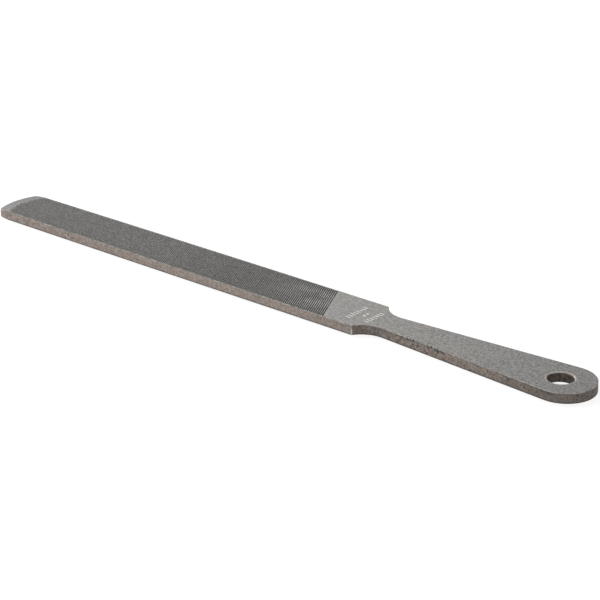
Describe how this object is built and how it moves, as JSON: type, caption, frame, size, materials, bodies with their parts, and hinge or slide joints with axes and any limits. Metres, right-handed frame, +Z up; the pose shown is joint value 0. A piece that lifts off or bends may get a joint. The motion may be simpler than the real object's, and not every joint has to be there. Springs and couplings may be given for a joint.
{
  "type": "flat file",
  "caption": "One-piece flat hand file: a toothed steel blade with square shoulders, a scooped neck and a flat handle with a hanging hole.",
  "frame": {"origin": "middle of the underside's length and width, on the surface the file lies on", "axes": "+X along the file towards the hanging hole, -X towards the tip, +Z up through its thickness"},
  "size_m": [0.308, 0.025, 0.0042],
  "materials": {
    "tool_steel": "bare tool steel: dark grey cut teeth, fine ground grey on the heel and handle, brown hardening scale on the edges"
  },
  "bodies": {
    "root": {"file_body": "tool_steel"}
  },
  "joints": []
}
